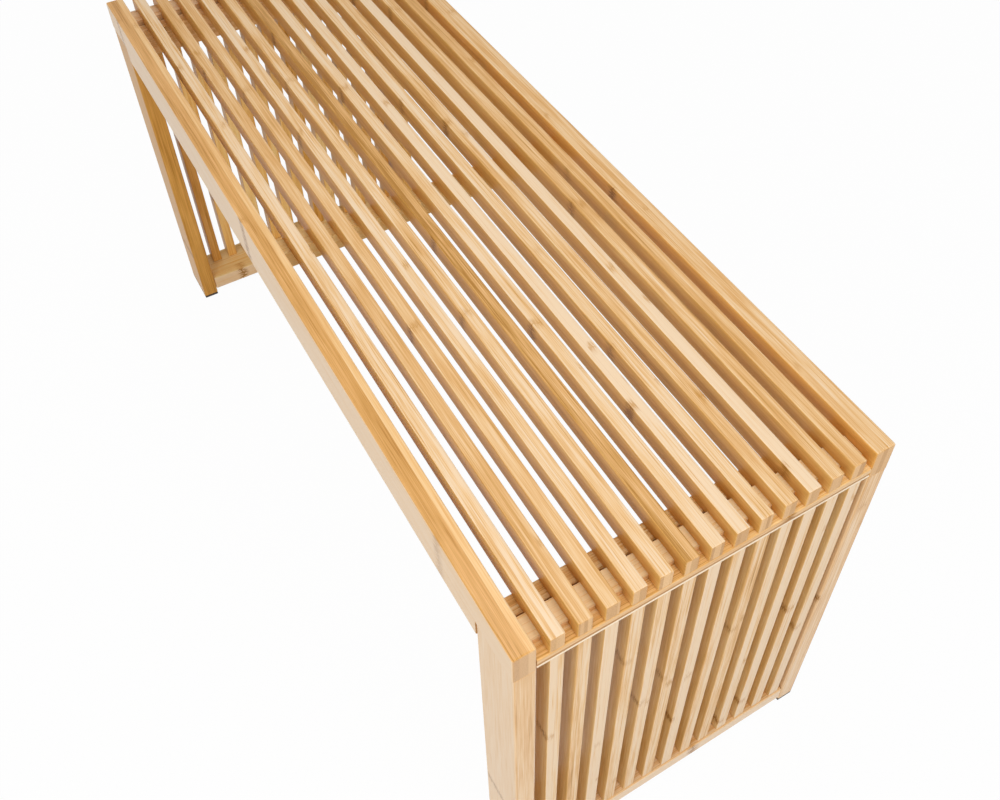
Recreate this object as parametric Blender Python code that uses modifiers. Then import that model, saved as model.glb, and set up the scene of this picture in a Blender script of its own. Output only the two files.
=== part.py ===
"""Slatted bamboo bench.

Thirteen slats and two long rails make the seat, with a rail across its middle to bear the slats. The long
rails are notched over the posts of two leg frames, and each leg frame is filled with a row of thirteen
upright slats.

X runs along the bench, Y across it and Z up. The front is -Y, the right end is +X, and the origin lies on
the floor under the middle of the bench.
"""

from math import cos, pi, radians, sin

import bmesh
import bpy

# Overall size, in metres.
LENGTH = 0.956
WIDTH = 0.350
HEIGHT = 0.464

# Room between two pieces that seat on each other.
FIT = 0.0003

# Slats, of one section in the seat and in the leg frames.
SLAT_COUNT = 13
SLAT_WIDTH = 0.0125
SLAT_DEPTH = 0.0195
SLAT_EASE = 0.0011

# Long rails on edge, at the front and the back of the seat.
RAIL_WIDTH = 0.0196
RAIL_DEPTH = 0.053
FRAME_EASE = 0.0015

# Posts under the ends of the long rails, a little inside their outer faces, with eased tops at the seam.
POST_SET_IN = 0.0006
SEAM_EASE = 0.0007

# End rail, the moulded board that the slat ends hook over.
END_RAIL_DEPTH = 0.0336
END_RAIL_THICKNESS = 0.0128
LEDGE_DEPTH = 0.013
TONGUE_RISE = 0.005
BEAD_RADIUS = 0.0026
QUIRK_HEIGHT = 0.0022
END_TENON_WIDTH = 0.013
END_TENON_THICKNESS = 0.006

# Cross rail, the board on edge behind each end rail, with an open gap between the two.
CROSS_RAIL_THICKNESS = 0.017
CROSS_RAIL_GAP = 0.0032
CROSS_TENON_THICKNESS = 0.008
CROSS_TENON_HEIGHT = 0.008

# Middle rail, under the slats half way along the seat.
MIDDLE_RAIL_WIDTH = 0.021
MIDDLE_RAIL_HEIGHT = 0.0205

# Stub tenons of the end rails, cross rails and middle rail, let into the long rails.
RAIL_TENON_LENGTH = 0.008

# Leg frames. The row of upright slats stands nearer the back post than the front one.
PANEL_FRONT_GAP = 0.0119
PANEL_BACK_GAP = 0.0055
PANEL_SET_BACK = 0.0014
PANEL_TENON_SHOULDER = 0.0028
PANEL_TENON_LENGTH = 0.006
FOOT_RAIL_HEIGHT = 0.020
FOOT_RAIL_LIFT = 0.0105
FOOT_TENON_SHOULDER_ACROSS = 0.012
FOOT_TENON_SHOULDER_UP = 0.005
FOOT_TENON_LENGTH = 0.009
PAD_THICKNESS = 0.003
PAD_INSET = 0.0003
PAD_EASE = 0.0006

# Dowel that pins each post under its rail.
DOWEL_DIAMETER = 0.008
DOWEL_LENGTH = 0.040
DOWEL_EASE = 0.0008
DOWEL_SIDES = 20

# Faces along an eased edge and along the bead.
EASE_SEGMENTS = 2
BEAD_SEGMENTS = 8

# Edges that turn more than this are eased, and those that turn more than the next stay crisp in shading.
EASED_TURN = radians(60)
CRISP_TURN = radians(35)

# Points of a drawn outline nearer than this are one point, and faces that turn less than this are one face.
WELD_DISTANCE = 0.00001
FLAT_TURN = radians(1)

# Sizes that follow from those above.
RAIL_INNER_FACE = WIDTH / 2 - RAIL_WIDTH
RAIL_CENTRE = WIDTH / 2 - RAIL_WIDTH / 2
SLAT_GAP = (2 * RAIL_INNER_FACE - SLAT_COUNT * SLAT_WIDTH) / (SLAT_COUNT + 1)
SLAT_PITCH = SLAT_WIDTH + SLAT_GAP
FIRST_SLAT = -SLAT_PITCH * (SLAT_COUNT - 1) / 2
BETWEEN_RAILS = 2 * RAIL_INNER_FACE - 2 * FIT

LEDGE_LEVEL = HEIGHT - SLAT_DEPTH - FIT
SEAM_LEVEL = LEDGE_LEVEL - END_RAIL_THICKNESS
RAIL_END_DEPTH = HEIGHT - SEAM_LEVEL
POST_TOP = SEAM_LEVEL - FIT
POST_FOOT = PAD_THICKNESS + FIT
POST_HEIGHT = POST_TOP - POST_FOOT
POST_DEPTH = END_RAIL_DEPTH + CROSS_RAIL_GAP + CROSS_RAIL_THICKNESS
POST_CENTRE = LENGTH / 2 - POST_DEPTH / 2
POST_WIDTH = RAIL_WIDTH - POST_SET_IN
POST_CENTRE_ACROSS = RAIL_INNER_FACE + POST_WIDTH / 2
CROSS_RAIL_HEIGHT = LEDGE_LEVEL - (HEIGHT - RAIL_DEPTH)
CROSS_RAIL_CENTRE = LENGTH / 2 - POST_DEPTH + CROSS_RAIL_THICKNESS / 2
NOTCH_LENGTH = POST_DEPTH + FIT

FOOT_RAIL_TOP = FOOT_RAIL_LIFT + FOOT_RAIL_HEIGHT
PANEL_SLAT_FOOT = FOOT_RAIL_TOP + FIT
PANEL_SLAT_LENGTH = SEAM_LEVEL - FIT - PANEL_SLAT_FOOT
PANEL_CENTRE = LENGTH / 2 - PANEL_SET_BACK - SLAT_DEPTH / 2
PANEL_TENON_DEPTH = SLAT_DEPTH - 2 * PANEL_TENON_SHOULDER
PANEL_TENON_WIDTH = SLAT_WIDTH - 2 * PANEL_TENON_SHOULDER
PANEL_ROW_WIDTH = 2 * RAIL_INNER_FACE - PANEL_FRONT_GAP - PANEL_BACK_GAP
PANEL_PITCH = (PANEL_ROW_WIDTH - SLAT_WIDTH) / (SLAT_COUNT - 1)
FIRST_PANEL_SLAT = PANEL_FRONT_GAP + SLAT_WIDTH / 2 - RAIL_INNER_FACE
FOOT_TENON_WIDTH = POST_DEPTH - 2 * FOOT_TENON_SHOULDER_ACROSS
FOOT_TENON_HEIGHT = FOOT_RAIL_HEIGHT - 2 * FOOT_TENON_SHOULDER_UP
FOOT_RAIL_CENTRE = FOOT_RAIL_LIFT + FOOT_RAIL_HEIGHT / 2

# Middle of the tenons of the end rails, cross rails and middle rail, above the notches of the long rails.
RAIL_TENON_LEVEL = LEDGE_LEVEL - END_RAIL_THICKNESS / 2

# Places along the bench of the rails on edge across it.
CROSS_RAIL_PLACES = {"right": CROSS_RAIL_CENTRE, "middle": 0.0, "left": -CROSS_RAIL_CENTRE}

BAMBOO_COLOURS = {
    "bamboo_rail": (0.78, 0.52, 0.25, 1.0),
    "bamboo_seat_slat": (0.82, 0.58, 0.31, 1.0),
    "bamboo_end_rail": (0.72, 0.46, 0.21, 1.0),
    "bamboo_post": (0.80, 0.58, 0.35, 1.0),
    "bamboo_panel_slat": (0.82, 0.62, 0.38, 1.0),
}
BAMBOO_ROUGHNESS = 0.42
PAD_COLOUR = (0.03, 0.025, 0.02, 1.0)
PAD_ROUGHNESS = 0.85
DOWEL_COLOUR = (0.70, 0.52, 0.34, 1.0)
DOWEL_ROUGHNESS = 0.7

ENDS = {"right": 1, "left": -1}
SIDES = {"front": -1, "back": 1}


def clear_scene():
    for obj in list(bpy.data.objects):
        bpy.data.objects.remove(obj, do_unlink=True)


def new_collection(name):
    collection = bpy.data.collections.new(name)
    bpy.context.scene.collection.children.link(collection)
    return collection


def move_to(obj, collection):
    for old in list(obj.users_collection):
        old.objects.unlink(obj)
    collection.objects.link(obj)


def plain_material(name, colour, roughness):
    material = bpy.data.materials.new(name)
    material.use_nodes = True
    shader = material.node_tree.nodes["Principled BSDF"]
    shader.inputs["Base Color"].default_value = colour
    shader.inputs["Roughness"].default_value = roughness
    shader.inputs["Metallic"].default_value = 0.0
    return material


def box(name, size, centre):
    """A box of the given size about the given centre, with its scale and place applied."""
    bpy.ops.mesh.primitive_cube_add(size=1, location=centre)
    obj = bpy.context.object
    obj.name = name
    obj.scale = size
    bpy.ops.object.transform_apply(location=True, rotation=False, scale=True)
    return obj


def cylinder(name, diameter, length, centre=(0.0, 0.0, 0.0)):
    bpy.ops.mesh.primitive_cylinder_add(
        vertices=DOWEL_SIDES, radius=diameter / 2, depth=length, location=centre)
    obj = bpy.context.object
    obj.name = name
    return obj


def outline_solid(name, points, thickness):
    """A flat outline of (x, z) points, made as thick as given along Y and centred on it."""
    curve = bpy.data.curves.new(name, "CURVE")
    curve.dimensions = "2D"
    curve.fill_mode = "BOTH"
    curve.extrude = thickness / 2
    spline = curve.splines.new("POLY")
    spline.points.add(len(points) - 1)
    for point, (x, z) in zip(spline.points, points):
        point.co = (x, z, 0.0, 1.0)
    spline.use_cyclic_u = True
    drawn = bpy.data.objects.new(name + "_outline", curve)
    drawn.rotation_euler = (radians(90), 0.0, 0.0)
    bpy.context.scene.collection.objects.link(drawn)
    mesh = bpy.data.meshes.new_from_object(evaluated(drawn))
    mesh.transform(drawn.matrix_world)
    bpy.data.objects.remove(drawn, do_unlink=True)
    form = bmesh.new()
    form.from_mesh(mesh)
    bmesh.ops.remove_doubles(form, verts=form.verts, dist=WELD_DISTANCE)
    bmesh.ops.dissolve_limit(form, angle_limit=FLAT_TURN, verts=form.verts, edges=form.edges)
    bmesh.ops.recalc_face_normals(form, faces=form.faces)
    form.to_mesh(mesh)
    form.free()
    obj = bpy.data.objects.new(name, mesh)
    bpy.context.scene.collection.objects.link(obj)
    return obj


def evaluated(obj):
    bpy.context.view_layer.update()
    return obj.evaluated_get(bpy.context.evaluated_depsgraph_get())


def ease(obj, width):
    """Round the edges of a piece."""
    bevel = obj.modifiers.new("eased_edges", "BEVEL")
    bevel.width = width
    bevel.segments = EASE_SEGMENTS
    bevel.limit_method = "ANGLE"
    bevel.angle_limit = EASED_TURN


def combine(obj, tool, operation, cutters):
    tool.hide_render = True
    tool.display_type = "WIRE"
    move_to(tool, cutters)
    boolean = obj.modifiers.new(tool.name, "BOOLEAN")
    boolean.operation = operation
    boolean.solver = "EXACT"
    boolean.object = tool


def repeat_across(tool, pitch):
    """Repeat a cutter once for each slat of a row."""
    array = tool.modifiers.new("slat_pitch", "ARRAY")
    array.count = SLAT_COUNT
    array.use_relative_offset = False
    array.use_constant_offset = True
    array.constant_offset_displace = (0.0, pitch, 0.0)


def finished_mesh(obj):
    """The mesh of a piece with its modifiers carried out; the piece and its tools are removed."""
    mesh = bpy.data.meshes.new_from_object(evaluated(obj))
    mesh.name = obj.name
    tools = [modifier.object for modifier in obj.modifiers if modifier.type == "BOOLEAN"]
    bpy.data.objects.remove(obj, do_unlink=True)
    for tool in tools:
        bpy.data.objects.remove(tool, do_unlink=True)
    mesh.shade_smooth()
    mesh.set_sharp_from_angle(angle=CRISP_TURN)
    return mesh


def rail_mesh(cutters):
    """A front rail, drawn with its top at z = 0: a board on edge, notched over a post at each end."""
    rail = box("rail", (LENGTH, RAIL_WIDTH, RAIL_DEPTH), (0.0, 0.0, -RAIL_DEPTH / 2))
    ease(rail, FRAME_EASE)
    inner_face = RAIL_WIDTH / 2
    mortise_depth = RAIL_TENON_LENGTH + FIT
    for name, end in ENDS.items():
        notch = box(
            name + "_notch", (2 * NOTCH_LENGTH, 2 * RAIL_WIDTH, 2 * (RAIL_DEPTH - RAIL_END_DEPTH)),
            (end * LENGTH / 2, 0.0, -RAIL_DEPTH))
        combine(rail, notch, "DIFFERENCE", cutters)
        end_mortise = box(
            name + "_end_rail_mortise",
            (END_TENON_WIDTH + 2 * FIT, 2 * mortise_depth, END_TENON_THICKNESS + 2 * FIT),
            (end * PANEL_CENTRE, inner_face, RAIL_TENON_LEVEL - HEIGHT))
        combine(rail, end_mortise, "DIFFERENCE", cutters)
        dowel_hole = cylinder(
            name + "_dowel_hole", DOWEL_DIAMETER + 2 * FIT, DOWEL_LENGTH + 2 * FIT,
            (end * POST_CENTRE, 0.0, SEAM_LEVEL - HEIGHT))
        combine(rail, dowel_hole, "DIFFERENCE", cutters)
    for name, x in CROSS_RAIL_PLACES.items():
        cross_mortise = box(
            name + "_rail_mortise",
            (CROSS_TENON_THICKNESS + 2 * FIT, 2 * mortise_depth, CROSS_TENON_HEIGHT + 2 * FIT),
            (x, inner_face, RAIL_TENON_LEVEL - HEIGHT))
        combine(rail, cross_mortise, "DIFFERENCE", cutters)
    return finished_mesh(rail)


def seat_slat_mesh(cutters):
    """A seat slat, housed underneath at both ends over the tongues of the end rails."""
    slat = box("seat_slat", (LENGTH, SLAT_WIDTH, SLAT_DEPTH), (0.0, 0.0, -SLAT_DEPTH / 2))
    ease(slat, SLAT_EASE)
    housing_length = END_RAIL_DEPTH - LEDGE_DEPTH + 2 * FIT
    housing_centre = LENGTH / 2 - (LEDGE_DEPTH + END_RAIL_DEPTH) / 2
    for name, end in ENDS.items():
        housing = box(
            name + "_housing", (housing_length, 2 * SLAT_WIDTH, 2 * TONGUE_RISE),
            (end * housing_centre, 0.0, -SLAT_DEPTH))
        combine(slat, housing, "DIFFERENCE", cutters)
    return finished_mesh(slat)


def end_rail_outline():
    """The end rail's section: x from its outer face inwards, z from the ledge under the slat ends."""
    bead_centre = -END_RAIL_THICKNESS + BEAD_RADIUS
    quirk_top = bead_centre + BEAD_RADIUS + QUIRK_HEIGHT
    points = []
    for step in range(EASE_SEGMENTS + 1):
        angle = radians(90) * step / EASE_SEGMENTS
        points.append((SLAT_EASE * (cos(angle) - 1), SLAT_EASE * (sin(angle) - 1)))
    points += [
        (-LEDGE_DEPTH, 0.0), (-LEDGE_DEPTH, TONGUE_RISE), (-END_RAIL_DEPTH, TONGUE_RISE),
        (-END_RAIL_DEPTH, -END_RAIL_THICKNESS),
    ]
    for step in range(BEAD_SEGMENTS + 1):
        angle = radians(-90) + pi * step / BEAD_SEGMENTS
        points.append((BEAD_RADIUS * (cos(angle) - 1), bead_centre + BEAD_RADIUS * sin(angle)))
    points += [(-BEAD_RADIUS, quirk_top), (0.0, quirk_top)]
    return points


def panel_mortises(name, level, end, cutters, obj):
    """Mortises for the tenons of the upright slats, cut into one face of a rail. At the left end the rail
    is turned half round, so its row runs the other way."""
    outer_face = LENGTH / 2
    mortise = box(
        name,
        (PANEL_TENON_DEPTH + 2 * FIT, PANEL_TENON_WIDTH + 2 * FIT, 2 * (PANEL_TENON_LENGTH + FIT)),
        (PANEL_CENTRE - outer_face, end * FIRST_PANEL_SLAT, level))
    repeat_across(mortise, end * PANEL_PITCH)
    combine(obj, mortise, "DIFFERENCE", cutters)


def end_rail_mesh(end, cutters):
    rail = outline_solid("end_rail", end_rail_outline(), BETWEEN_RAILS)
    tenons = box(
        "end_rail_tenons",
        (END_TENON_WIDTH, 2 * (RAIL_INNER_FACE + RAIL_TENON_LENGTH), END_TENON_THICKNESS),
        (PANEL_CENTRE - LENGTH / 2, 0.0, RAIL_TENON_LEVEL - LEDGE_LEVEL))
    combine(rail, tenons, "UNION", cutters)
    panel_mortises("end_rail_mortises", -END_RAIL_THICKNESS, end, cutters, rail)
    return finished_mesh(rail)


def cross_rail_mesh(name, thickness, height, cutters):
    """A rail across the seat, drawn with its top at z = 0, with a stub tenon at each end."""
    rail = box(name, (thickness, BETWEEN_RAILS, height), (0.0, 0.0, -height / 2))
    ease(rail, SLAT_EASE)
    tenons = box(
        name + "_tenons",
        (CROSS_TENON_THICKNESS, 2 * (RAIL_INNER_FACE + RAIL_TENON_LENGTH), CROSS_TENON_HEIGHT),
        (0.0, 0.0, RAIL_TENON_LEVEL - LEDGE_LEVEL))
    combine(rail, tenons, "UNION", cutters)
    return finished_mesh(rail)


def post_mesh(cutters):
    """A front post, cut square at its top under the rail, with a dowel hole there and a foot rail mortise."""
    uncut_height = POST_HEIGHT + 2 * FRAME_EASE
    post = box("post", (POST_DEPTH, POST_WIDTH, uncut_height), (0.0, 0.0, uncut_height / 2))
    ease(post, FRAME_EASE)
    square_cut = box(
        "post_square_cut", (2 * POST_DEPTH, 2 * POST_WIDTH, 2 * (uncut_height - POST_HEIGHT)),
        (0.0, 0.0, uncut_height))
    combine(post, square_cut, "DIFFERENCE", cutters)
    ease(post, SEAM_EASE)
    dowel_hole = cylinder(
        "post_dowel_hole", DOWEL_DIAMETER + 2 * FIT, DOWEL_LENGTH + 2 * FIT,
        (0.0, POST_CENTRE_ACROSS - RAIL_CENTRE, POST_HEIGHT))
    combine(post, dowel_hole, "DIFFERENCE", cutters)
    mortise = box(
        "foot_rail_mortise",
        (FOOT_TENON_WIDTH + 2 * FIT, 2 * (FOOT_TENON_LENGTH + FIT), FOOT_TENON_HEIGHT + 2 * FIT),
        (0.0, POST_WIDTH / 2, FOOT_RAIL_CENTRE - POST_FOOT))
    combine(post, mortise, "DIFFERENCE", cutters)
    return finished_mesh(post)


def foot_rail_mesh(end, cutters):
    """The foot rail, drawn with its outer face at x = 0 and its underside at z = 0."""
    rail = box("foot_rail", (POST_DEPTH, BETWEEN_RAILS, FOOT_RAIL_HEIGHT),
               (-POST_DEPTH / 2, 0.0, FOOT_RAIL_HEIGHT / 2))
    ease(rail, FRAME_EASE)
    tenons = box(
        "foot_rail_tenons",
        (FOOT_TENON_WIDTH, 2 * (RAIL_INNER_FACE + FOOT_TENON_LENGTH), FOOT_TENON_HEIGHT),
        (-POST_DEPTH / 2, 0.0, FOOT_RAIL_HEIGHT / 2))
    combine(rail, tenons, "UNION", cutters)
    panel_mortises("foot_rail_mortises", FOOT_RAIL_HEIGHT, end, cutters, rail)
    return finished_mesh(rail)


def panel_slat_mesh(cutters):
    """An upright slat with a stub tenon at its foot and its top."""
    middle = PANEL_SLAT_LENGTH / 2
    slat = box("panel_slat", (SLAT_DEPTH, SLAT_WIDTH, PANEL_SLAT_LENGTH), (0.0, 0.0, middle))
    ease(slat, SLAT_EASE)
    tenons = box(
        "panel_slat_tenons",
        (PANEL_TENON_DEPTH, PANEL_TENON_WIDTH, PANEL_SLAT_LENGTH + 2 * PANEL_TENON_LENGTH),
        (0.0, 0.0, middle))
    combine(slat, tenons, "UNION", cutters)
    return finished_mesh(slat)


def pad_mesh():
    pad = box(
        "foot_pad", (POST_DEPTH - 2 * PAD_INSET, POST_WIDTH - 2 * PAD_INSET, PAD_THICKNESS),
        (0.0, 0.0, PAD_THICKNESS / 2))
    ease(pad, PAD_EASE)
    return finished_mesh(pad)


def dowel_mesh():
    dowel = cylinder("dowel", DOWEL_DIAMETER, DOWEL_LENGTH)
    ease(dowel, DOWEL_EASE)
    return finished_mesh(dowel)


def place(name, mesh, material, parent, location, turn=0.0):
    """One named piece of the bench, turned about the vertical."""
    obj = bpy.data.objects.new(name, mesh)
    parent.users_collection[0].objects.link(obj)
    obj.parent = parent
    obj.location = location
    obj.rotation_euler = (0.0, 0.0, turn)
    if not mesh.materials:
        mesh.materials.append(material)
    return obj


def assembly(name, collection):
    """An empty that holds the pieces of one frame."""
    empty = bpy.data.objects.new(name, None)
    collection.objects.link(empty)
    return empty


def make_materials():
    materials = {}
    for name, colour in BAMBOO_COLOURS.items():
        materials[name] = plain_material(name, colour, BAMBOO_ROUGHNESS)
    materials["foot_pad"] = plain_material("foot_pad", PAD_COLOUR, PAD_ROUGHNESS)
    materials["dowel"] = plain_material("dowel", DOWEL_COLOUR, DOWEL_ROUGHNESS)
    return materials


def slat_places(first, pitch):
    return [(f"{number + 1:02d}", first + number * pitch) for number in range(SLAT_COUNT)]


def build_seat(bench, cutters, materials):
    seat = assembly("seat_frame", bench)
    rail = rail_mesh(cutters)
    for side_name, side in SIDES.items():
        turn = 0.0 if side < 0 else pi
        place(side_name + "_rail", rail, materials["bamboo_rail"], seat,
              (0.0, side * RAIL_CENTRE, HEIGHT), turn)
    slat = seat_slat_mesh(cutters)
    for number, y in slat_places(FIRST_SLAT, SLAT_PITCH):
        place("seat_slat_" + number, slat, materials["bamboo_seat_slat"], seat, (0.0, y, HEIGHT))
    middle_rail = cross_rail_mesh("middle_rail", MIDDLE_RAIL_WIDTH, MIDDLE_RAIL_HEIGHT, cutters)
    place("middle_rail", middle_rail, materials["bamboo_end_rail"], seat,
          (CROSS_RAIL_PLACES["middle"], 0.0, LEDGE_LEVEL))
    cross_rail = cross_rail_mesh("cross_rail", CROSS_RAIL_THICKNESS, CROSS_RAIL_HEIGHT, cutters)
    for end_name, end in ENDS.items():
        turn = 0.0 if end > 0 else pi
        place(end_name + "_end_rail", end_rail_mesh(end, cutters), materials["bamboo_end_rail"], seat,
              (end * LENGTH / 2, 0.0, LEDGE_LEVEL), turn)
        place(end_name + "_cross_rail", cross_rail, materials["bamboo_end_rail"], seat,
              (CROSS_RAIL_PLACES[end_name], 0.0, LEDGE_LEVEL), turn)


def build_leg_frames(bench, cutters, materials):
    post = post_mesh(cutters)
    panel_slat = panel_slat_mesh(cutters)
    pad = pad_mesh()
    dowel = dowel_mesh()
    for end_name, end in ENDS.items():
        frame = assembly(end_name + "_leg_frame", bench)
        end_turn = 0.0 if end > 0 else pi
        place(end_name + "_foot_rail", foot_rail_mesh(end, cutters), materials["bamboo_post"], frame,
              (end * LENGTH / 2, 0.0, FOOT_RAIL_LIFT), end_turn)
        for number, y in slat_places(FIRST_PANEL_SLAT, PANEL_PITCH):
            place(f"{end_name}_panel_slat_{number}", panel_slat, materials["bamboo_panel_slat"], frame,
                  (end * PANEL_CENTRE, y, PANEL_SLAT_FOOT))
        for side_name, side in SIDES.items():
            corner = f"{end_name}_{side_name}"
            spot = (end * POST_CENTRE, side * POST_CENTRE_ACROSS)
            side_turn = 0.0 if side < 0 else pi
            place(corner + "_post", post, materials["bamboo_post"], frame, (*spot, POST_FOOT), side_turn)
            place(corner + "_foot_pad", pad, materials["foot_pad"], frame, (*spot, 0.0))
            place(corner + "_dowel", dowel, materials["dowel"], frame,
                  (end * POST_CENTRE, side * RAIL_CENTRE, SEAM_LEVEL - FIT / 2))


def build():
    clear_scene()
    bench = new_collection("bamboo_bench")
    cutters = new_collection("cutters")
    materials = make_materials()
    build_seat(bench, cutters, materials)
    build_leg_frames(bench, cutters, materials)
    bpy.data.collections.remove(cutters)


build()
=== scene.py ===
"""Looks of the slatted bamboo bench: its bamboo, pads and dowels, a white floor, soft light and the camera.

Metres, +Z up. X runs along the bench and Y across it. The front is -Y and the near end in the picture is +X.
"""

from math import cos, pi, radians, sin
from random import Random

import bpy
from mathutils import Matrix, Vector


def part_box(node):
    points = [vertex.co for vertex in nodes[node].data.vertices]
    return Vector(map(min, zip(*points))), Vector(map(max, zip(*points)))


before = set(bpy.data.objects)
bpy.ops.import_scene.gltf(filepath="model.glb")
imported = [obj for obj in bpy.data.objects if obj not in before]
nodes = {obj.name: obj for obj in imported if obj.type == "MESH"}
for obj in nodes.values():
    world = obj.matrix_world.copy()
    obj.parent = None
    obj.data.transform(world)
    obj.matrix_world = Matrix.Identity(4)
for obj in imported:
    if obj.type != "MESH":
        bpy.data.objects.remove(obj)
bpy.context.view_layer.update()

X_AXIS = 0
Y_AXIS = 1
Z_AXIS = 2
AXES = (X_AXIS, Y_AXIS, Z_AXIS)

# Picture that the camera is set for, in pixels.
PICTURE_WIDTH = 1000
PICTURE_HEIGHT = 800

# Camera: its place, its turn from +X and its tilt below the level in degrees, and its focal length and
# optical centre in pixels of the picture.
CAMERA_PLACE = (0.7569, -0.3303, 1.1599)
CAMERA_YAW = 149.089
CAMERA_DOWN = 47.045
FOCAL_LENGTH = 1081.4
OPTICAL_CENTRE = (527.1, 304.9)
SENSOR_WIDTH = 36.0

# Floor, and the light of the white room around the bench.
FLOOR_SIZE = 14.0
FLOOR_COLOUR = (0.78, 0.78, 0.78, 1.0)
FLOOR_WHITENESS = 0.97
ROOM_COLOUR = (1.0, 1.0, 1.0, 1.0)
ROOM_LIGHT = 0.49
SHOWN_ROOM_LIGHT = 1.0

# Lamps: place, point aimed at, width and height, and radiance. One hangs over the seat, one stands beyond the
# near end and lights into the gaps, and one stands before the front, so the light falls off along the bench.
LAMPS = {
    "seat": ((0.05, 0.0, 1.6), (0.0, 0.0, 0.46), (0.7, 0.5), 3.0),
    "end": ((1.75, 0.0, 1.45), (0.40, 0.0, 0.42), (0.5, 0.7), 8.1),
    "front": ((1.0, -1.2, 1.35), (0.30, -0.17, 0.40), (0.8, 0.8), 5.0),
}

# Bamboo from its palest strips to its brown streaks: a tone and the colour there.
BAMBOO_TONES = (
    (0.00, (0.88, 0.665, 0.445, 1.0)),
    (0.30, (0.84, 0.56, 0.29, 1.0)),
    (0.60, (0.735, 0.415, 0.16, 1.0)),
    (0.85, (0.60, 0.32, 0.095, 1.0)),
    (1.00, (0.45, 0.21, 0.045, 1.0)),
)

# Tints that these tones are multiplied by. The plain and warm ones are the bamboo's own colour. The sunny one
# is painted light on the near end's rails, and the olive and golden ones paint the warm shade on sides
# between boards, on the middle rail and on the far leg frame.
PLAIN = (1.0, 1.0, 1.0, 1.0)
PAINTED_LIGHT_TINT = (1.06, 1.06, 0.90, 1.0)
PAINTED_SHADE_OLIVE = (0.98, 1.03, 0.93, 1.0)
WARM = (1.04, 0.985, 0.84, 1.0)
PAINTED_SHADE_PALE_GOLD = (1.02, 1.02, 0.74, 1.0)
PAINTED_SHADE_GOLD = (1.08, 0.99, 0.62, 1.0)

# Grain of the bamboo: waves in a metre along the grain, across the strips and the third way.
STREAK_WAVES = (10.0, 430.0, 300.0)
FIBRE_WAVES = (24.0, 1700.0, 1100.0)
CLOUD_WAVES = (9.0, 60.0, 60.0)
LINE_WAVES = (9.0, 800.0, 560.0)

# Levels of noise between which fine dark lines, the strokes of the nodes and the dots of cut ends come up.
LINE_LEVELS = (0.60, 0.74)
STROKE_LEVELS = (0.34, 0.62)
END_DOT_LEVELS = (0.42, 0.68)

# How far the grain moves the tone, and how far one strip's tone may lie from another's, on faces and sides.
STREAK_REACH = 1.35
FIBRE_REACH = 0.85
CLOUD_REACH = 0.75
LINE_REACH = 0.28
STRIP_REACH = 0.24
SIDE_STRIP_REACH = 0.12

# Sides show this share of the grain, and eased edges are painted paler by this much, as a highlight.
SIDE_GRAIN = 0.5
EDGE_HIGHLIGHT = 0.3

# Cosines of the angle between a face and an axis, from which the face starts to look along it and fully does.
FACING = (0.70, 0.92)

# How far the grain of each strip may start from that of the next, along it and the third way.
STRIP_SHIFT = 5.0
STRIP_DEPTH_SHIFT = 3.0

# Nodes of the cane: the distance from one to the next, how far their line swings, and the waves of the line
# and of the strokes beside it.
NODE_SPACING = 0.40
NODE_SWING = 0.010
NODE_WAVES = (50.0, 420.0, 300.0)
STROKE_WAVES = (90.0, 900.0, 700.0)

# Strokes and line of a node: the distances from it at which they start to fade and end, and their strength.
NODE_STROKES = (0.001, 0.010, 0.80)
NODE_LINE = (0.0003, 0.0014, 0.65)

# Random numbers below which a node is missing and above which it is whole, the strength of the weakest, and
# how much stronger they are on the sides.
NODE_CHANCES = (0.25, 0.35)
WEAKEST_NODE = 0.55
SIDE_NODE_GAIN = 0.7

# Brown of the nodes and the glue lines, and that of the nodes on the sides.
NODE_BROWN = (0.56, 0.27, 0.06, 1.0)
SIDE_NODE_BROWN = (0.38, 0.17, 0.03, 1.0)

# Glue line: the shares of a strip's width from its middle between which it comes up, and how strong it gets.
GLUE_FROM = 0.465
GLUE_FULL = 0.498
GLUE_STRENGTH = 0.30

# Cut ends, from their palest bands to the darkest, and the shares of the bands and of the fibre dots in that.
PALE_END = (0.86, 0.55, 0.27, 1.0)
DARK_END = (0.52, 0.27, 0.095, 1.0)
END_DOT_WAVES = (300.0, 1300.0, 1300.0)
END_BAND_SHARE = 0.75
END_DOT_SHARE = 0.25

# Moulded edge of the end rails, painted with light and shade: heights above its foot between which it takes a
# colour, and how much of it. Painted shade makes it golden under the bead, a painted highlight pale along it,
# and painted shade brown in the groove above.
BEAD_PAINTED_LIGHT_AND_SHADE = (
    (-0.0010, 0.0018, (0.70, 0.38, 0.11, 1.0), 0.70),
    (0.0018, 0.0039, (0.96, 0.82, 0.63, 1.0), 0.90),
    (0.0039, 0.0075, (0.42, 0.22, 0.10, 1.0), 0.80),
)

# Surface of the bamboo. The front rail and near posts have a full coat of lacquer, and the slats a thin one.
BAMBOO_SPECULAR = 0.12
BAMBOO_ROUGHNESS = 0.38
FIBRE_ROUGHNESS = 0.14
LACQUER = 0.45
THIN_LACQUER = 0.1
LACQUER_ROUGHNESS = 0.22
BAMBOO_BUMP = 0.25
GLUE_DEPTH = 2.0
RELIEF = 0.0002

# Rubber of the pads.
PAD_DARK = (0.030, 0.022, 0.016, 1.0)
PAD_DUSTY = (0.085, 0.062, 0.045, 1.0)
PAD_WAVES = (900.0, 900.0, 900.0)
PAD_ROUGHNESS = 0.62
PAD_DUST_ROUGHNESS = 0.25
PAD_BUMP = 0.3

# Tone of each seat slat from front to back.
SEAT_SLAT_TONES = (0.11, 0.48, 0.42, 0.24, 0.44, 0.77, 0.22, -0.06, 0.22, 0.41, -0.12, 0.58, 0.57)
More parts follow.
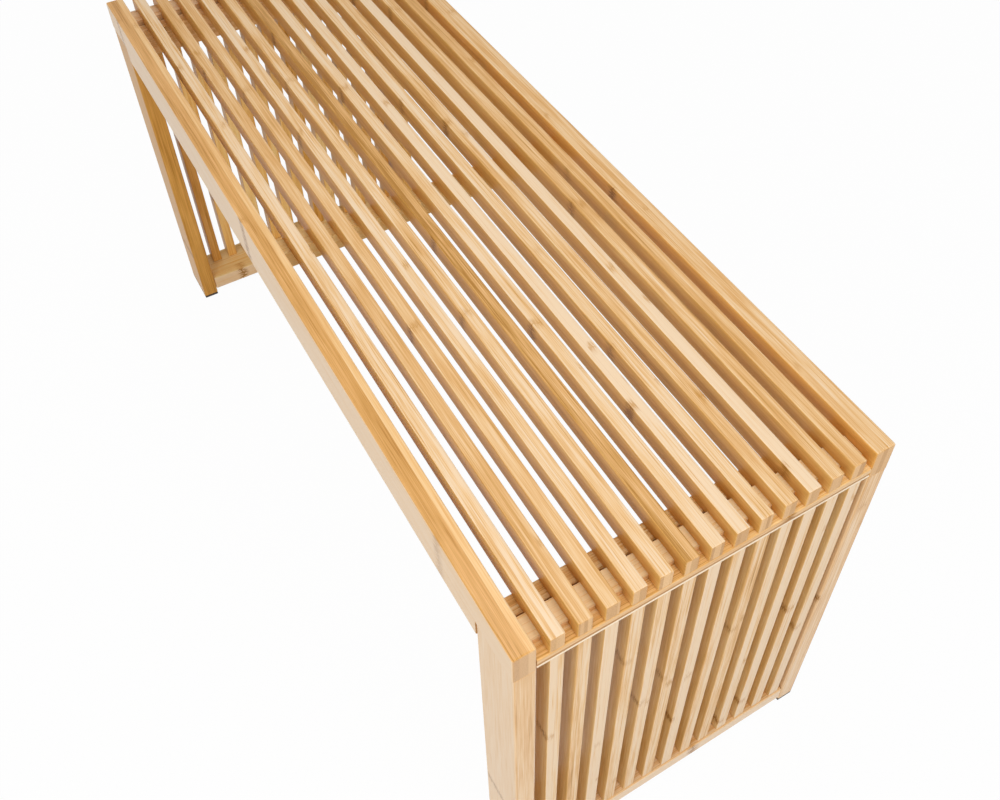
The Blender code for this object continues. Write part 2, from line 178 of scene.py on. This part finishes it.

# Looks of the boards, as bamboo() takes them. Further than pale_from across a board, in metres, its tone is
# lower by pale_drop.
# The side tints of the seat slats, back rail, middle rail and panel slats, and the middle rail's tint, paint
# the golden and olive shade in the gaps.
SEAT_SLAT = {"side_tone": 0.60, "end_bands": 2.0, "side_shade_tint": PAINTED_SHADE_PALE_GOLD, "lacquer": THIN_LACQUER}
FRONT_RAIL = {"strips": 2.72, "tone": 0.66, "side_tone": 0.20, "contrast": 0.75, "pale_from": 0.0127,
              "pale_drop": 0.30, "offset": 0.24, "tint": WARM}
BACK_RAIL = {"strips": 4, "tone": 0.40, "side_tone": 0.62, "side_shade_tint": PAINTED_SHADE_GOLD, "lacquer": THIN_LACQUER}
MIDDLE_RAIL = {"strips": 1, "tone": 0.06, "side_tone": 0.1, "fineness": 2.5, "tint": PAINTED_SHADE_PALE_GOLD,
               "side_shade_tint": PAINTED_SHADE_PALE_GOLD, "lacquer": THIN_LACQUER}
PANEL_SLAT = {"side_tone": 0.54, "side_shade_tint": PAINTED_SHADE_OLIVE, "lacquer": THIN_LACQUER}
DOWEL = {"strips": 1, "tone": 0.4, "side_tone": 0.4}

# Looks of the rails at each end. Across an end rail, its ledge and its tongue differ in tone, and the rails
# of the near end take a paler tint as painted light.
END_RAIL = {"strips": 1, "side_tone": 0.38, "contrast": 1.3, "fineness": 1.4, "lacquer": THIN_LACQUER}
CROSS_RAIL = {"strips": 1, "side_tone": 0.6, "contrast": 1.2, "fineness": 1.4, "lacquer": THIN_LACQUER}
END_RAILS = {
    "right": {"tone": -0.03, "pale_from": 0.0206, "pale_drop": -0.46, "tint": PAINTED_LIGHT_TINT},
    "left": {"tone": 0.43, "pale_from": 0.013, "pale_drop": 0.20, "tint": PLAIN},
}
CROSS_RAILS = {
    "right": {"tone": 0.36, "tint": PAINTED_LIGHT_TINT},
    "left": {"tone": 0.5, "tint": PLAIN},
}

# Leg frames: how much painted shade darkens their boards, their contrast, tints and lacquer. The far one is
# painted darker and more golden, as shade.
LEG_FRAMES = {
    "right": {"painted_shade": 0.0, "contrast": 1.3, "tint": PLAIN, "foot_tint": PLAIN, "lacquer": LACQUER},
    "left": {"painted_shade": 0.34, "contrast": 0.8, "tint": PAINTED_SHADE_GOLD, "foot_tint": PAINTED_SHADE_PALE_GOLD,
             "lacquer": THIN_LACQUER},
}
POST_STRIPS = 2
POST_TONE = 0.42
POST_SIDE_TONE = 0.24
POST_CONTRAST = 0.7
FOOT_RAIL_STRIPS = 3
FOOT_RAIL_TONE = 0.3
FOOT_RAIL_SIDE_TONE = 0.08

# Start of the random choices, and the ranges and lists that they are made from.
SEED = 7
BOARD_SEEDS = (1.0, 90.0)
STRIP_OFFSETS = (0.2, 0.8)
SEAT_SLAT_STRIPS = (1, 2, 2)
SEAT_SLAT_CONTRASTS = (0.9, 1.4)
PANEL_SLAT_STRIPS = (1, 1, 2)
PANEL_SLAT_TONES = (-0.20, 0.42)


def add_node(tree, kind, **settings):
    made = tree.nodes.new(kind)
    for name, value in settings.items():
        setattr(made, name, value)
    return made


def feed(tree, socket, value):
    """Join a socket to another one, or set its value."""
    if isinstance(value, bpy.types.NodeSocket):
        tree.links.new(value, socket)
    else:
        socket.default_value = value


def math(tree, operation, *values):
    made = add_node(tree, "ShaderNodeMath", operation=operation)
    for socket, value in zip(made.inputs, values):
        feed(tree, socket, value)
    return made.outputs[0]


def ramp(tree, value, low, high, to_low=0.0, to_high=1.0):
    """A smooth step between two values."""
    made = add_node(tree, "ShaderNodeMapRange", interpolation_type="SMOOTHSTEP")
    for socket, number in zip(made.inputs, (value, low, high, to_low, to_high)):
        feed(tree, socket, number)
    return made.outputs[0]


def swing(tree, value, reach, start=0.0):
    """A number between 0 and 1 spread evenly about a start."""
    return math(tree, "MULTIPLY_ADD", math(tree, "SUBTRACT", value, 0.5), reach, start)


def mix(tree, factor, first, second, blend="MIX"):
    """A colour between two. The node's colour sockets come after those for numbers and vectors."""
    made = add_node(tree, "ShaderNodeMix", data_type="RGBA", blend_type=blend)
    feed(tree, made.inputs["Factor"], factor)
    feed(tree, made.inputs[6], first)
    feed(tree, made.inputs[7], second)
    return made.outputs[2]


def mix_numbers(tree, factor, first, second):
    """A number between two. The node's number sockets come after its two factors."""
    made = add_node(tree, "ShaderNodeMix", data_type="FLOAT")
    feed(tree, made.inputs["Factor"], factor)
    feed(tree, made.inputs[2], first)
    feed(tree, made.inputs[3], second)
    return made.outputs[0]


def combine(tree, x, y, z):
    made = add_node(tree, "ShaderNodeCombineXYZ")
    for socket, value in zip(made.inputs, (x, y, z)):
        feed(tree, socket, value)
    return made.outputs[0]


def noise(tree, place, waves, detail=2.0, roughness=0.5):
    """Noise between 0 and 1, with its own number of waves along each direction of a place."""
    scaled = add_node(tree, "ShaderNodeVectorMath", operation="MULTIPLY")
    feed(tree, scaled.inputs[0], place)
    scaled.inputs[1].default_value = waves
    made = add_node(tree, "ShaderNodeTexNoise")
    feed(tree, made.inputs["Vector"], scaled.outputs[0])
    made.inputs["Scale"].default_value = 1.0
    made.inputs["Detail"].default_value = detail
    made.inputs["Roughness"].default_value = roughness
    return made.outputs["Fac"]


def facing(tree, normal, axis):
    """1 on the faces that look along an axis, either way."""
    turned = add_node(tree, "ShaderNodeVectorMath", operation="DOT_PRODUCT")
    feed(tree, turned.inputs[0], normal)
    feed(tree, turned.inputs[1], axis)
    return ramp(tree, math(tree, "ABSOLUTE", turned.outputs["Value"]), *FACING)


def random_numbers(tree, x, y, z):
    """Three random numbers for a cell."""
    chance = add_node(tree, "ShaderNodeTexWhiteNoise", noise_dimensions="3D")
    feed(tree, chance.inputs["Vector"], combine(tree, x, y, z))
    parted = add_node(tree, "ShaderNodeSeparateColor")
    feed(tree, parted.inputs[0], chance.outputs["Color"])
    return parted.outputs


def bamboo_group():
    """Laminated bamboo. A place is (along the grain, across the strips, third way), in metres."""
    tree = bpy.data.node_groups.new("bamboo_board", "ShaderNodeTree")
    for name in ("Place", "Grain", "Across"):
        tree.interface.new_socket(name, in_out="INPUT", socket_type="NodeSocketVector")
    for name in ("Seed", "Strip", "Offset", "Fineness", "End Bands", "Tone", "Side Tone", "Contrast",
                 "Pale From", "Pale Drop"):
        tree.interface.new_socket(name, in_out="INPUT", socket_type="NodeSocketFloat")
    for name in ("Tint", "Side Shade Tint"):
        tree.interface.new_socket(name, in_out="INPUT", socket_type="NodeSocketColor")
    tree.interface.new_socket("Color", in_out="OUTPUT", socket_type="NodeSocketColor")
    for name in ("Roughness", "Height"):
        tree.interface.new_socket(name, in_out="OUTPUT", socket_type="NodeSocketFloat")
    given = add_node(tree, "NodeGroupInput").outputs
    result = add_node(tree, "NodeGroupOutput").inputs

    place = add_node(tree, "ShaderNodeSeparateXYZ")
    feed(tree, place.inputs[0], given["Place"])
    along, across, third = place.outputs
    normal = add_node(tree, "ShaderNodeNewGeometry").outputs["Normal"]
    is_end = facing(tree, normal, given["Grain"])
    is_side = facing(tree, normal, given["Across"])
    not_side = math(tree, "SUBTRACT", 1.0, is_side)
    third_way = add_node(tree, "ShaderNodeVectorMath", operation="CROSS_PRODUCT")
    feed(tree, third_way.inputs[0], given["Grain"])
    feed(tree, third_way.inputs[1], given["Across"])
    is_face = math(tree, "MAXIMUM", is_side, facing(tree, normal, third_way.outputs[0]))
    is_edge = math(tree, "SUBTRACT", 1.0, math(tree, "MAXIMUM", is_end, is_face))

    # Each strip is cut from another cane: it has its own tone, and its grain starts elsewhere.
    strips = math(tree, "ADD", math(tree, "DIVIDE", across, given["Strip"]), given["Offset"])
    number = math(tree, "FLOOR", strips)
    share = math(tree, "FRACT", strips)
    first, second, last = random_numbers(tree, number, given["Seed"], 0.0)
    own_along = math(tree, "MULTIPLY_ADD", first, STRIP_SHIFT, along)
    own_third = math(tree, "MULTIPLY_ADD", second, STRIP_DEPTH_SHIFT, third)
    own_place = combine(tree, own_along, math(tree, "MULTIPLY", across, given["Fineness"]), own_third)

    # Tone: that of the board, then the strip, its slow changes, fibres and streaks. Eased edges are painted
    # paler, as a highlight.
    streaks = noise(tree, own_place, STREAK_WAVES, detail=4.0, roughness=0.62)
    fibres = noise(tree, own_place, FIBRE_WAVES, roughness=0.6)
    clouds = noise(tree, own_place, CLOUD_WAVES)
    lines = ramp(tree, noise(tree, own_place, LINE_WAVES, detail=1.0), *LINE_LEVELS)
    is_pale = math(tree, "GREATER_THAN", across, given["Pale From"])
    pale = math(tree, "MULTIPLY", is_pale, given["Pale Drop"])
    top_tone = math(tree, "SUBTRACT", swing(tree, last, STRIP_REACH, given["Tone"]), pale)
    side_tone = swing(tree, last, SIDE_STRIP_REACH, given["Side Tone"])
    board_tone = mix_numbers(tree, is_side, top_tone, side_tone)
    board_tone = math(tree, "MULTIPLY_ADD", is_edge, -EDGE_HIGHLIGHT, board_tone)
    grain = swing(tree, clouds, CLOUD_REACH)
    grain = swing(tree, fibres, FIBRE_REACH, grain)
    grain = swing(tree, streaks, STREAK_REACH, grain)
    grain = math(tree, "MULTIPLY_ADD", lines, LINE_REACH, grain)
    contrast = math(tree, "MULTIPLY", given["Contrast"], mix_numbers(tree, is_side, 1.0, SIDE_GRAIN))
    tone = math(tree, "MULTIPLY_ADD", grain, contrast, board_tone)
    tones = add_node(tree, "ShaderNodeValToRGB")
    feed(tree, tones.inputs[0], tone)
    stops = tones.color_ramp.elements
    for stop, (position, colour) in zip((stops[0], stops[1]), (BAMBOO_TONES[0], BAMBOO_TONES[-1])):
        stop.position = position
        stop.color = colour
    for position, colour in BAMBOO_TONES[1:-1]:
        stops.new(position).color = colour
    # Sides take their own tint, which paints the warm shade in the gaps between boards.
    tint = mix(tree, is_side, given["Tint"], given["Side Shade Tint"])
    colour = mix(tree, 1.0, tones.outputs[0], tint, "MULTIPLY")

    # Nodes of the cane, on some strips: a wavy line among brown strokes, darker on the sides.
    turns = math(tree, "ADD", math(tree, "DIVIDE", own_along, NODE_SPACING), second)
    is_there, strength = random_numbers(tree, number, given["Seed"], math(tree, "FLOOR", turns))[:2]
    wobble = noise(tree, own_place, NODE_WAVES)
    reach = math(tree, "MULTIPLY", swing(tree, math(tree, "FRACT", turns), 1.0), NODE_SPACING)
    away = math(tree, "ABSOLUTE", swing(tree, wobble, NODE_SWING, reach))
    strokes = ramp(tree, noise(tree, own_place, STROKE_WAVES, roughness=0.6), *STROKE_LEVELS)
    stroked = math(tree, "MULTIPLY", strokes, ramp(tree, away, *NODE_STROKES, 0.0))
    marked = math(tree, "MAXIMUM", stroked, ramp(tree, away, *NODE_LINE, 0.0))
    strength = ramp(tree, strength, 0.0, 1.0, WEAKEST_NODE, 1.0)
    present = math(tree, "MULTIPLY", ramp(tree, is_there, *NODE_CHANCES), strength)
    present = math(tree, "MULTIPLY", present, math(tree, "MULTIPLY_ADD", is_side, SIDE_NODE_GAIN, 1.0))
    mark_colour = mix(tree, is_side, NODE_BROWN, SIDE_NODE_BROWN)
    colour = mix(tree, math(tree, "MULTIPLY", marked, present), colour, mark_colour)

    # Glue line between two strips.
    edge = math(tree, "ABSOLUTE", swing(tree, share, 1.0))
    glue = math(tree, "MULTIPLY", ramp(tree, edge, GLUE_FROM, GLUE_FULL, 0.0, GLUE_STRENGTH), not_side)
    colour = mix(tree, glue, colour, NODE_BROWN)

    # Cut ends: bands of the strips with the dots of the fibre bundles.
    dots = ramp(tree, noise(tree, own_place, END_DOT_WAVES, detail=1.0), *END_DOT_LEVELS)
    band = math(tree, "FLOOR", math(tree, "MULTIPLY", strips, given["End Bands"]))
    band_tone = math(tree, "MULTIPLY", random_numbers(tree, band, given["Seed"], 0.5)[0], END_BAND_SHARE)
    end_tone = math(tree, "MULTIPLY_ADD", dots, END_DOT_SHARE, band_tone)
    end_colour = mix(tree, end_tone, PALE_END, DARK_END)
    end_colour = mix(tree, glue, end_colour, NODE_BROWN)
    colour = mix(tree, is_end, colour, end_colour)

    feed(tree, result["Color"], colour)
    feed(tree, result["Roughness"], math(tree, "MULTIPLY_ADD", fibres, FIBRE_ROUGHNESS, BAMBOO_ROUGHNESS))
    feed(tree, result["Height"], math(tree, "MULTIPLY_ADD", glue, -GLUE_DEPTH, fibres))
    return tree


def new_material(name):
    """A material with its nodes and its shader."""
    material = bpy.data.materials.new(name)
    material.use_nodes = True
    tree = material.node_tree
    return material, tree, tree.nodes["Principled BSDF"]


def add_bump(tree, shader, height, strength):
    bump = add_node(tree, "ShaderNodeBump")
    bump.inputs["Strength"].default_value = strength
    bump.inputs["Distance"].default_value = RELIEF
    feed(tree, bump.inputs["Height"], height)
    feed(tree, shader.inputs["Normal"], bump.outputs[0])


def bamboo(node, grain, across, chance, strips, tone, side_tone, contrast=1.0, pale_from=1.0, pale_drop=0.0,
           offset=None, fineness=1.0, end_bands=1.0, tint=PLAIN, side_shade_tint=PLAIN, lacquer=LACQUER):
    """A board of laminated bamboo, its strips side by side along one axis of the bench."""
    material, tree, shader = new_material(node)
    low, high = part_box(node)
    third = sum(AXES) - grain - across
    where = add_node(tree, "ShaderNodeTexCoord")
    start = add_node(tree, "ShaderNodeVectorMath", operation="SUBTRACT")
    feed(tree, start.inputs[0], where.outputs["Object"])
    start.inputs[1].default_value = low
    parts = add_node(tree, "ShaderNodeSeparateXYZ")
    feed(tree, parts.inputs[0], start.outputs[0])
    board = add_node(tree, "ShaderNodeGroup", node_tree=bamboo_tree)
    place = combine(tree, parts.outputs[grain], parts.outputs[across], parts.outputs[third])
    feed(tree, board.inputs["Place"], place)
    settings = {
        "Grain": [float(axis == grain) for axis in AXES],
        "Across": [float(axis == across) for axis in AXES],
        "Seed": chance.uniform(*BOARD_SEEDS),
        "Strip": (high[across] - low[across]) / strips,
        "Offset": chance.uniform(*STRIP_OFFSETS) if offset is None else offset,
        "Fineness": fineness,
        "End Bands": end_bands,
        "Tone": tone,
        "Side Tone": side_tone,
        "Tint": tint,
        "Side Shade Tint": side_shade_tint,
        "Contrast": contrast,
        "Pale From": pale_from,
        "Pale Drop": pale_drop,
    }
    for name, value in settings.items():
        board.inputs[name].default_value = value
    feed(tree, shader.inputs["Base Color"], board.outputs["Color"])
    feed(tree, shader.inputs["Roughness"], board.outputs["Roughness"])
    shader.inputs["Specular IOR Level"].default_value = BAMBOO_SPECULAR
    shader.inputs["Coat Weight"].default_value = lacquer
    shader.inputs["Coat Roughness"].default_value = LACQUER_ROUGHNESS
    add_bump(tree, shader, board.outputs["Height"], BAMBOO_BUMP)
    return material


def paint_bead_light_and_shade(material, foot):
    """Paint light and shade on the moulded edge of an end rail, whose foot is at a level above the floor:
    painted shade under the bead and in its groove, and a painted highlight along it.
    """
    tree = material.node_tree
    base = tree.nodes["Principled BSDF"].inputs["Base Color"]
    colour = base.links[0].from_socket
    parts = add_node(tree, "ShaderNodeSeparateXYZ")
    feed(tree, parts.inputs[0], add_node(tree, "ShaderNodeTexCoord").outputs["Object"])
    height = math(tree, "SUBTRACT", parts.outputs[Z_AXIS], foot)
    for low, high, painted_colour, amount in BEAD_PAINTED_LIGHT_AND_SHADE:
        above = math(tree, "GREATER_THAN", height, low)
        below = math(tree, "LESS_THAN", height, high)
        inside = math(tree, "MULTIPLY", above, below)
        colour = mix(tree, math(tree, "MULTIPLY", inside, amount), colour, painted_colour)
    feed(tree, base, colour)


def rubber():
    """Dark foot pads with a fine, dusty grain."""
    material, tree, shader = new_material("pad_rubber")
    where = add_node(tree, "ShaderNodeTexCoord").outputs["Object"]
    grain = noise(tree, where, PAD_WAVES, detail=3.0, roughness=0.6)
    feed(tree, shader.inputs["Base Color"], mix(tree, grain, PAD_DARK, PAD_DUSTY))
    roughness = math(tree, "MULTIPLY_ADD", grain, PAD_DUST_ROUGHNESS, PAD_ROUGHNESS)
    feed(tree, shader.inputs["Roughness"], roughness)
    add_bump(tree, shader, grain, PAD_BUMP)
    return material


def dress(node, material):
    piece = nodes[node]
    piece.data.materials.clear()
    piece.data.materials.append(material)


def dress_seat(chance):
    for number, tone in enumerate(SEAT_SLAT_TONES, start=1):
        node = f"seat_slat_{number:02d}"
        strips = chance.choice(SEAT_SLAT_STRIPS)
        contrast = chance.uniform(*SEAT_SLAT_CONTRASTS)
        slat = bamboo(node, X_AXIS, Y_AXIS, chance, strips, tone, contrast=contrast, **SEAT_SLAT)
        dress(node, slat)
    dress("front_rail", bamboo("front_rail", X_AXIS, Y_AXIS, chance, **FRONT_RAIL))
    dress("back_rail", bamboo("back_rail", X_AXIS, Y_AXIS, chance, **BACK_RAIL))
    dress("middle_rail", bamboo("middle_rail", Y_AXIS, X_AXIS, chance, **MIDDLE_RAIL))
    for end in ("right", "left"):
        node = f"{end}_end_rail"
        rail = bamboo(node, Y_AXIS, X_AXIS, chance, **END_RAIL, **END_RAILS[end])
        paint_bead_light_and_shade(rail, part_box(node)[0][Z_AXIS])
        dress(node, rail)
        node = f"{end}_cross_rail"
        rail = bamboo(node, Y_AXIS, X_AXIS, chance, **CROSS_RAIL, **CROSS_RAILS[end])
        dress(node, rail)


def dress_leg_frame(end, pad, chance, painted_shade, contrast, tint, foot_tint, lacquer):
    """The boards and pads of one end. A frame in painted shade has boards painted darker, and a foot rail
    painted darker on its sides and paler on top.
    """
    node = f"{end}_foot_rail"
    tone = FOOT_RAIL_TONE - painted_shade / 2
    side_tone = FOOT_RAIL_SIDE_TONE + painted_shade / 2
    rail = bamboo(node, Y_AXIS, X_AXIS, chance, FOOT_RAIL_STRIPS, tone, side_tone, tint=foot_tint,
                  lacquer=lacquer)
    dress(node, rail)
    for number in range(1, len(SEAT_SLAT_TONES) + 1):
        node = f"{end}_panel_slat_{number:02d}"
        tone = chance.uniform(*PANEL_SLAT_TONES) + painted_shade
        strips = chance.choice(PANEL_SLAT_STRIPS)
        slat = bamboo(node, Z_AXIS, Y_AXIS, chance, strips, tone, contrast=contrast, tint=tint, **PANEL_SLAT)
        dress(node, slat)
    for side in ("front", "back"):
        corner = f"{end}_{side}"
        node = corner + "_post"
        post = bamboo(node, Z_AXIS, Y_AXIS, chance, POST_STRIPS, POST_TONE + painted_shade, POST_SIDE_TONE + painted_shade,
                      contrast=POST_CONTRAST * contrast, tint=tint, lacquer=lacquer)
        dress(node, post)
        node = corner + "_dowel"
        dress(node, bamboo(node, Z_AXIS, Y_AXIS, chance, **DOWEL))
        dress(corner + "_foot_pad", pad)


def seen_rays(tree):
    """1 for the rays that show the background: from the camera, in a reflection or through glass."""
    path = add_node(tree, "ShaderNodeLightPath").outputs
    shown = math(tree, "MAXIMUM", path["Is Camera Ray"], path["Is Glossy Ray"])
    return math(tree, "MAXIMUM", shown, path["Is Transmission Ray"])


def make_floor():
    """A white floor that keeps a light shadow of the bench."""
    bpy.ops.mesh.primitive_plane_add(size=FLOOR_SIZE)
    floor = bpy.context.object
    floor.name = "floor"
    material = bpy.data.materials.new("floor_white")
    material.use_nodes = True
    tree = material.node_tree
    tree.nodes.clear()
    plain = add_node(tree, "ShaderNodeBsdfDiffuse")
    plain.inputs["Color"].default_value = FLOOR_COLOUR
    white = add_node(tree, "ShaderNodeEmission")
    lit = add_node(tree, "ShaderNodeMixShader")
    feed(tree, lit.inputs["Fac"], math(tree, "MULTIPLY", seen_rays(tree), FLOOR_WHITENESS))
    feed(tree, lit.inputs[1], plain.outputs[0])
    feed(tree, lit.inputs[2], white.outputs[0])
    output = add_node(tree, "ShaderNodeOutputMaterial")
    feed(tree, output.inputs["Surface"], lit.outputs[0])
    floor.data.materials.append(material)


def make_light():
    """A white room that lights the bench softly, and its lamps."""
    world = bpy.data.worlds.new("white_room")
    bpy.context.scene.world = world
    world.use_nodes = True
    tree = world.node_tree
    sky = tree.nodes["Background"]
    sky.inputs["Color"].default_value = ROOM_COLOUR
    strength = math(tree, "MULTIPLY_ADD", seen_rays(tree), SHOWN_ROOM_LIGHT - ROOM_LIGHT, ROOM_LIGHT)
    feed(tree, sky.inputs["Strength"], strength)
    for name, (place, aim, (width, height), radiance) in LAMPS.items():
        lamp = bpy.data.lights.new(name, "AREA")
        lamp.shape = "RECTANGLE"
        lamp.size = width
        lamp.size_y = height
        lamp.energy = radiance * pi * width * height
        shown = bpy.data.objects.new(name, lamp)
        bpy.context.scene.collection.objects.link(shown)
        shown.location = place
        shown.rotation_euler = (Vector(aim) - Vector(place)).to_track_quat("-Z", "Y").to_euler()


def make_camera():
    yaw = radians(CAMERA_YAW)
    down = radians(CAMERA_DOWN)
    ahead = Vector((cos(yaw) * cos(down), sin(yaw) * cos(down), -sin(down)))
    right = Vector((sin(yaw), -cos(yaw), 0.0))
    up = right.cross(ahead)
    camera_data = bpy.data.cameras.new("camera")
    camera_data.sensor_fit = "HORIZONTAL"
    camera_data.sensor_width = SENSOR_WIDTH
    camera_data.lens = FOCAL_LENGTH * SENSOR_WIDTH / PICTURE_WIDTH
    camera_data.shift_x = (PICTURE_WIDTH / 2 - OPTICAL_CENTRE[0]) / PICTURE_WIDTH
    camera_data.shift_y = (OPTICAL_CENTRE[1] - PICTURE_HEIGHT / 2) / PICTURE_WIDTH
    camera = bpy.data.objects.new("camera", camera_data)
    bpy.context.scene.collection.objects.link(camera)
    turn = Matrix((right, up, -ahead)).transposed()
    camera.matrix_world = Matrix.Translation(CAMERA_PLACE) @ turn.to_4x4()
    bpy.context.scene.camera = camera


bamboo_tree = bamboo_group()
numbers = Random(SEED)
dress_seat(numbers)
pad_rubber = rubber()
for leg_end, looks in LEG_FRAMES.items():
    dress_leg_frame(leg_end, pad_rubber, numbers, **looks)
make_floor()
make_light()
make_camera()
bpy.context.scene.view_settings.view_transform = "Standard"
